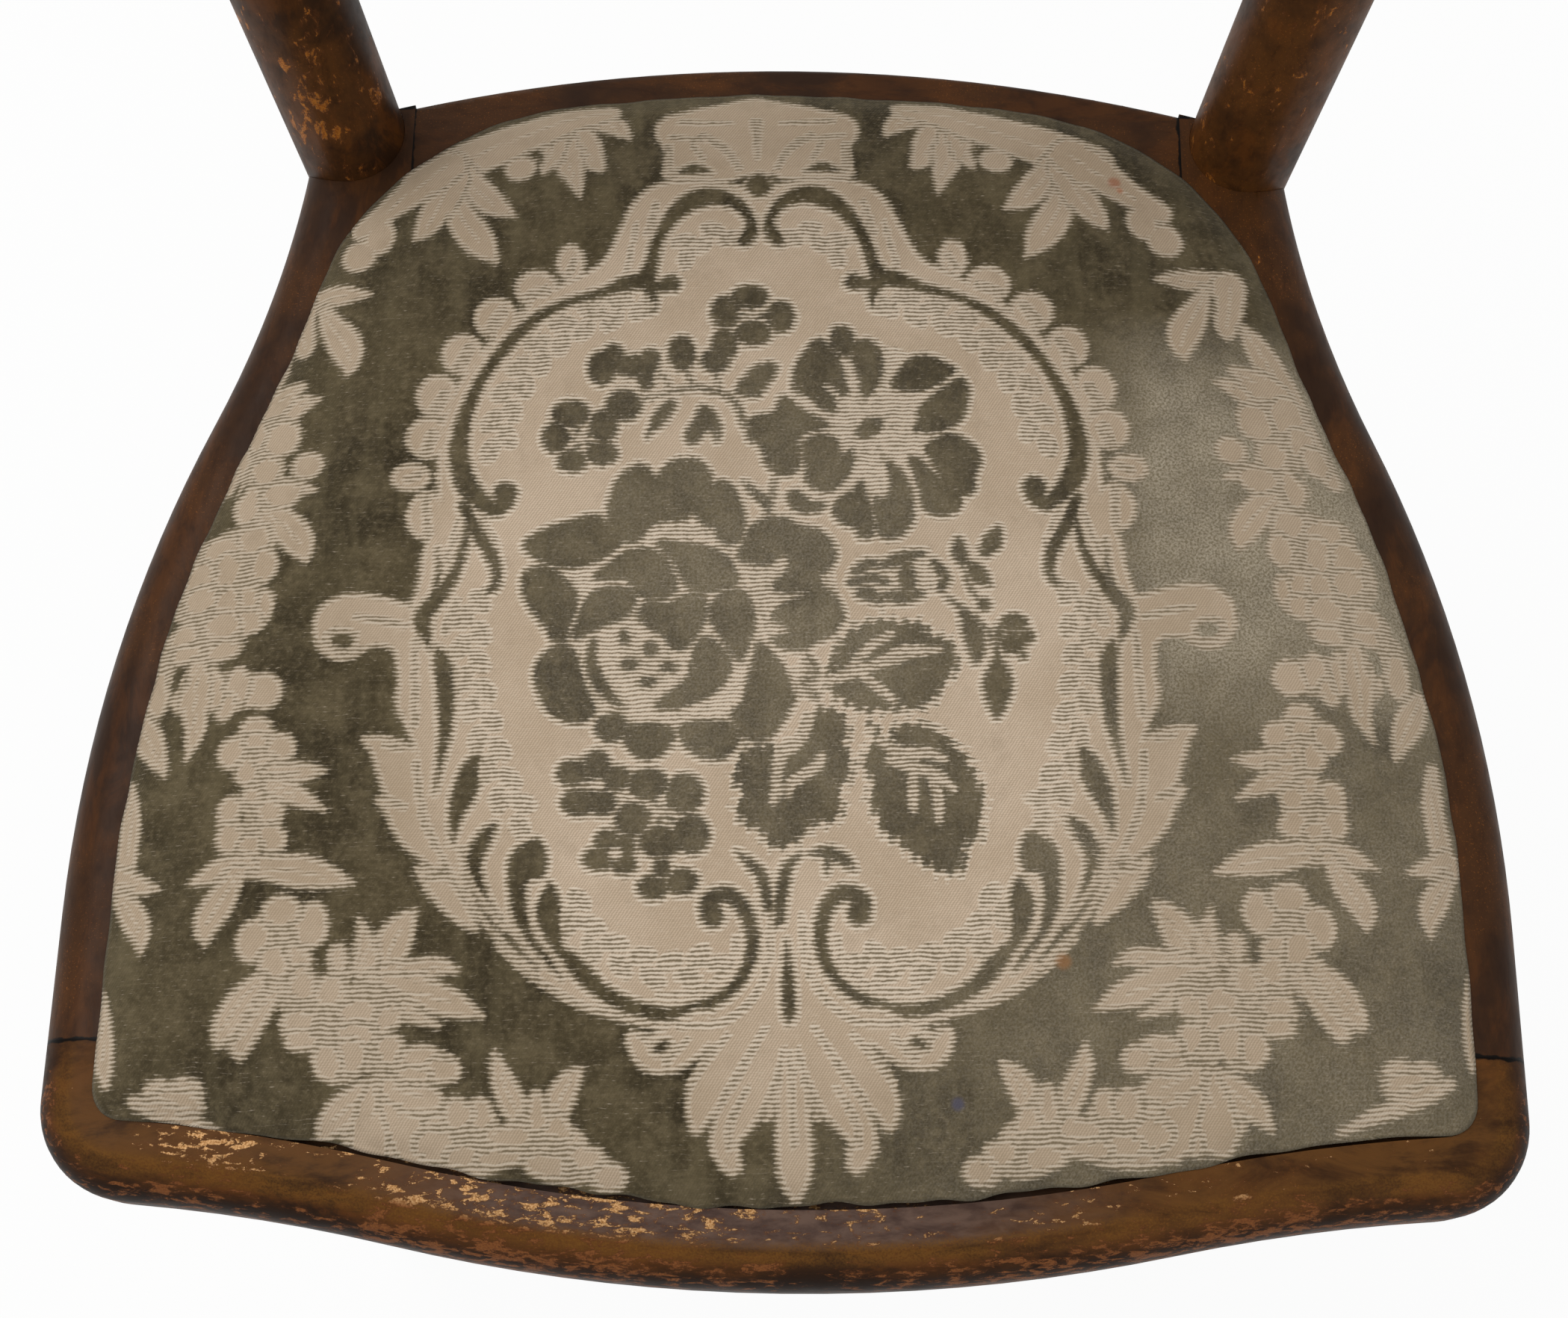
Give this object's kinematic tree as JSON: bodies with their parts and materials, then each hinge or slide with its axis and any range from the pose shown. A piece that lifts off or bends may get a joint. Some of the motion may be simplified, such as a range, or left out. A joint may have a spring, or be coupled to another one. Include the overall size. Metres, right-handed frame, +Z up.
{
  "type": "chiavari chair",
  "caption": "Slender gilded side chair with ringed posts and legs, a spindle back and a bell-shaped seat stuffed under figured cut velvet.",
  "frame": {"origin": "on the floor under the middle of the chair's overall box", "axes": "+Z up from the floor, -Y towards the front of the chair, +X to the right as seen from in front"},
  "size_m": [0.4194, 0.4276, 0.888],
  "materials": {
    "gilt_wood": "worn gilding over a reddish ground on turned wood, satin",
    "bare_beech": "bare turned beech",
    "cut_velvet": "olive cut pile on a beige twill ground",
    "jute_webbing": "woven jute strap",
    "hessian": "open plain weave",
    "horsehair": "curled hair stuffing",
    "steel": "dull dark steel"
  },
  "bodies": {
    "root": {"back_joint_dowels": "bare_beech", "back_spindle_1": "gilt_wood", "back_spindle_2": "gilt_wood", "back_spindle_3": "gilt_wood", "back_spindle_4": "gilt_wood", "back_spindle_5": "gilt_wood", "back_spindle_6": "gilt_wood", "back_spindle_7": "gilt_wood", "crest_rail": "gilt_wood", "front_joint_dowels": "bare_beech", "front_leg_left": "gilt_wood", "front_leg_right": "gilt_wood", "front_stretcher_lower": "gilt_wood", "front_stretcher_upper": "gilt_wood", "gallery_spindle_1": "gilt_wood", "gallery_spindle_2": "gilt_wood", "gallery_spindle_3": "gilt_wood", "gallery_spindle_4": "gilt_wood", "gallery_spindle_5": "gilt_wood", "gallery_spindle_6": "gilt_wood", "gallery_spindle_7": "gilt_wood", "lower_back_rail": "gilt_wood", "post_screw_plugs": "gilt_wood", "post_screws": "steel", "rear_post_left": "gilt_wood", "rear_post_right": "gilt_wood", "rear_stretcher": "gilt_wood", "seat_back_rail": "gilt_wood", "seat_cover": "cut_velvet", "seat_front_rail": "gilt_wood", "seat_hessian": "hessian", "seat_side_rail_left": "gilt_wood", "seat_side_rail_right": "gilt_wood", "seat_stuffing": "horsehair", "side_stretcher_lower_left": "gilt_wood", "side_stretcher_lower_right": "gilt_wood", "side_stretcher_upper_left": "gilt_wood", "side_stretcher_upper_right": "gilt_wood", "upper_back_rail": "gilt_wood", "webbing_crosswise_1": "jute_webbing", "webbing_crosswise_2": "jute_webbing", "webbing_crosswise_3": "jute_webbing", "webbing_lengthwise_1": "jute_webbing", "webbing_lengthwise_2": "jute_webbing", "webbing_lengthwise_3": "jute_webbing", "webbing_tacks": "steel"}
  },
  "joints": []
}
